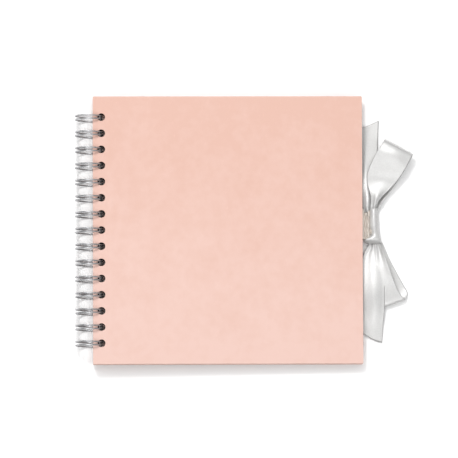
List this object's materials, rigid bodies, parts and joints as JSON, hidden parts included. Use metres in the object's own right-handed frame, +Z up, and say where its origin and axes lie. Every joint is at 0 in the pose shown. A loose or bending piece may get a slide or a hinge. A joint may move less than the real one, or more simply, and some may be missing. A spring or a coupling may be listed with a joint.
{
  "type": "wedding guest book",
  "caption": "Square blush guest book: paper-covered boards and black card leaves on a silver twin-loop wire, closed at the fore-edge by white satin ribbons tied in a bow.",
  "frame": {"origin": "under the middle of the whole object, on the surface it lies on", "axes": "+Z up, +X from the wire across the covers to the bow, +Y towards the head of the book"},
  "size_m": [0.2649, 0.2106, 0.0221],
  "materials": {
    "cover_paper": "matt blush-pink textured covering paper",
    "board": "dense grey bookbinding board",
    "card": "matt black card",
    "wire": "bright silver",
    "ribbon": "white satin ribbon"
  },
  "bodies": {
    "back_cover": {"back_cover_paper": "cover_paper", "back_board": "board", "back_endpaper": "cover_paper", "back_ribbon": "ribbon", "bow_knot": "ribbon", "bow_loop_upper": "ribbon", "bow_loop_lower": "ribbon", "bow_tail_upper": "ribbon", "bow_tail_lower": "ribbon"},
    "binding_wire": {"binding_wire": "wire"},
    "leaf_20": {"leaf_20": "card"},
    "leaf_19": {"leaf_19": "card"},
    "leaf_18": {"leaf_18": "card"},
    "leaf_17": {"leaf_17": "card"},
    "leaf_16": {"leaf_16": "card"},
    "leaf_15": {"leaf_15": "card"},
    "leaf_14": {"leaf_14": "card"},
    "leaf_13": {"leaf_13": "card"},
    "leaf_12": {"leaf_12": "card"},
    "leaf_11": {"leaf_11": "card"},
    "leaf_10": {"leaf_10": "card"},
    "leaf_09": {"leaf_09": "card"},
    "leaf_08": {"leaf_08": "card"},
    "leaf_07": {"leaf_07": "card"},
    "leaf_06": {"leaf_06": "card"},
    "leaf_05": {"leaf_05": "card"},
    "leaf_04": {"leaf_04": "card"},
    "leaf_03": {"leaf_03": "card"},
    "leaf_02": {"leaf_02": "card"},
    "leaf_01": {"leaf_01": "card"},
    "front_cover": {"front_cover_paper": "cover_paper", "front_board": "board", "front_endpaper": "cover_paper", "front_ribbon": "ribbon"}
  },
  "joints": [
    {"name": "cover_open", "type": "hinge", "parent": "leaf_01", "child": "front_cover", "pos_m": [-0.12155, 0, 0.0111], "axis": [0, -1, 0], "range_deg": [0, 182.89]},
    {"name": "leaf_01_turn", "type": "hinge", "parent": "leaf_02", "child": "leaf_01", "pos_m": [-0.12155, 0, 0.0111], "axis": [0, -1, 0], "range_deg": [0, 180]},
    {"name": "leaf_02_turn", "type": "hinge", "parent": "leaf_03", "child": "leaf_02", "pos_m": [-0.12155, 0, 0.0111], "axis": [0, -1, 0], "range_deg": [0, 180]},
    {"name": "leaf_03_turn", "type": "hinge", "parent": "leaf_04", "child": "leaf_03", "pos_m": [-0.12155, 0, 0.0111], "axis": [0, -1, 0], "range_deg": [0, 180]},
    {"name": "leaf_04_turn", "type": "hinge", "parent": "leaf_05", "child": "leaf_04", "pos_m": [-0.12155, 0, 0.0111], "axis": [0, -1, 0], "range_deg": [0, 180]},
    {"name": "leaf_05_turn", "type": "hinge", "parent": "leaf_06", "child": "leaf_05", "pos_m": [-0.12155, 0, 0.0111], "axis": [0, -1, 0], "range_deg": [0, 180]},
    {"name": "leaf_06_turn", "type": "hinge", "parent": "leaf_07", "child": "leaf_06", "pos_m": [-0.12155, 0, 0.0111], "axis": [0, -1, 0], "range_deg": [0, 180]},
    {"name": "leaf_07_turn", "type": "hinge", "parent": "leaf_08", "child": "leaf_07", "pos_m": [-0.12155, 0, 0.0111], "axis": [0, -1, 0], "range_deg": [0, 180]},
    {"name": "leaf_08_turn", "type": "hinge", "parent": "leaf_09", "child": "leaf_08", "pos_m": [-0.12155, 0, 0.0111], "axis": [0, -1, 0], "range_deg": [0, 180]},
    {"name": "leaf_09_turn", "type": "hinge", "parent": "leaf_10", "child": "leaf_09", "pos_m": [-0.12155, 0, 0.0111], "axis": [0, -1, 0], "range_deg": [0, 180]},
    {"name": "leaf_10_turn", "type": "hinge", "parent": "leaf_11", "child": "leaf_10", "pos_m": [-0.12155, 0, 0.0111], "axis": [0, -1, 0], "range_deg": [0, 180]},
    {"name": "leaf_11_turn", "type": "hinge", "parent": "leaf_12", "child": "leaf_11", "pos_m": [-0.12155, 0, 0.0111], "axis": [0, -1, 0], "range_deg": [0, 180]},
    {"name": "leaf_12_turn", "type": "hinge", "parent": "leaf_13", "child": "leaf_12", "pos_m": [-0.12155, 0, 0.0111], "axis": [0, -1, 0], "range_deg": [0, 180]},
    {"name": "leaf_13_turn", "type": "hinge", "parent": "leaf_14", "child": "leaf_13", "pos_m": [-0.12155, 0, 0.0111], "axis": [0, -1, 0], "range_deg": [0, 180]},
    {"name": "leaf_14_turn", "type": "hinge", "parent": "leaf_15", "child": "leaf_14", "pos_m": [-0.12155, 0, 0.0111], "axis": [0, -1, 0], "range_deg": [0, 180]},
    {"name": "leaf_15_turn", "type": "hinge", "parent": "leaf_16", "child": "leaf_15", "pos_m": [-0.12155, 0, 0.0111], "axis": [0, -1, 0], "range_deg": [0, 180]},
    {"name": "leaf_16_turn", "type": "hinge", "parent": "leaf_17", "child": "leaf_16", "pos_m": [-0.12155, 0, 0.0111], "axis": [0, -1, 0], "range_deg": [0, 180]},
    {"name": "leaf_17_turn", "type": "hinge", "parent": "leaf_18", "child": "leaf_17", "pos_m": [-0.12155, 0, 0.0111], "axis": [0, -1, 0], "range_deg": [0, 180]},
    {"name": "leaf_18_turn", "type": "hinge", "parent": "leaf_19", "child": "leaf_18", "pos_m": [-0.12155, 0, 0.0111], "axis": [0, -1, 0], "range_deg": [0, 180]},
    {"name": "leaf_19_turn", "type": "hinge", "parent": "leaf_20", "child": "leaf_19", "pos_m": [-0.12155, 0, 0.0111], "axis": [0, -1, 0], "range_deg": [0, 180]},
    {"name": "leaf_20_turn", "type": "hinge", "parent": "back_cover", "child": "leaf_20", "pos_m": [-0.12155, 0, 0.0111], "axis": [0, -1, 0], "range_deg": [0, 180]},
    {"name": "wire_roll", "type": "hinge", "parent": "back_cover", "child": "binding_wire", "pos_m": [-0.12155, 0, 0.0111], "axis": [0, -1, 0], "range_deg": [-260, 14]}
  ]
}
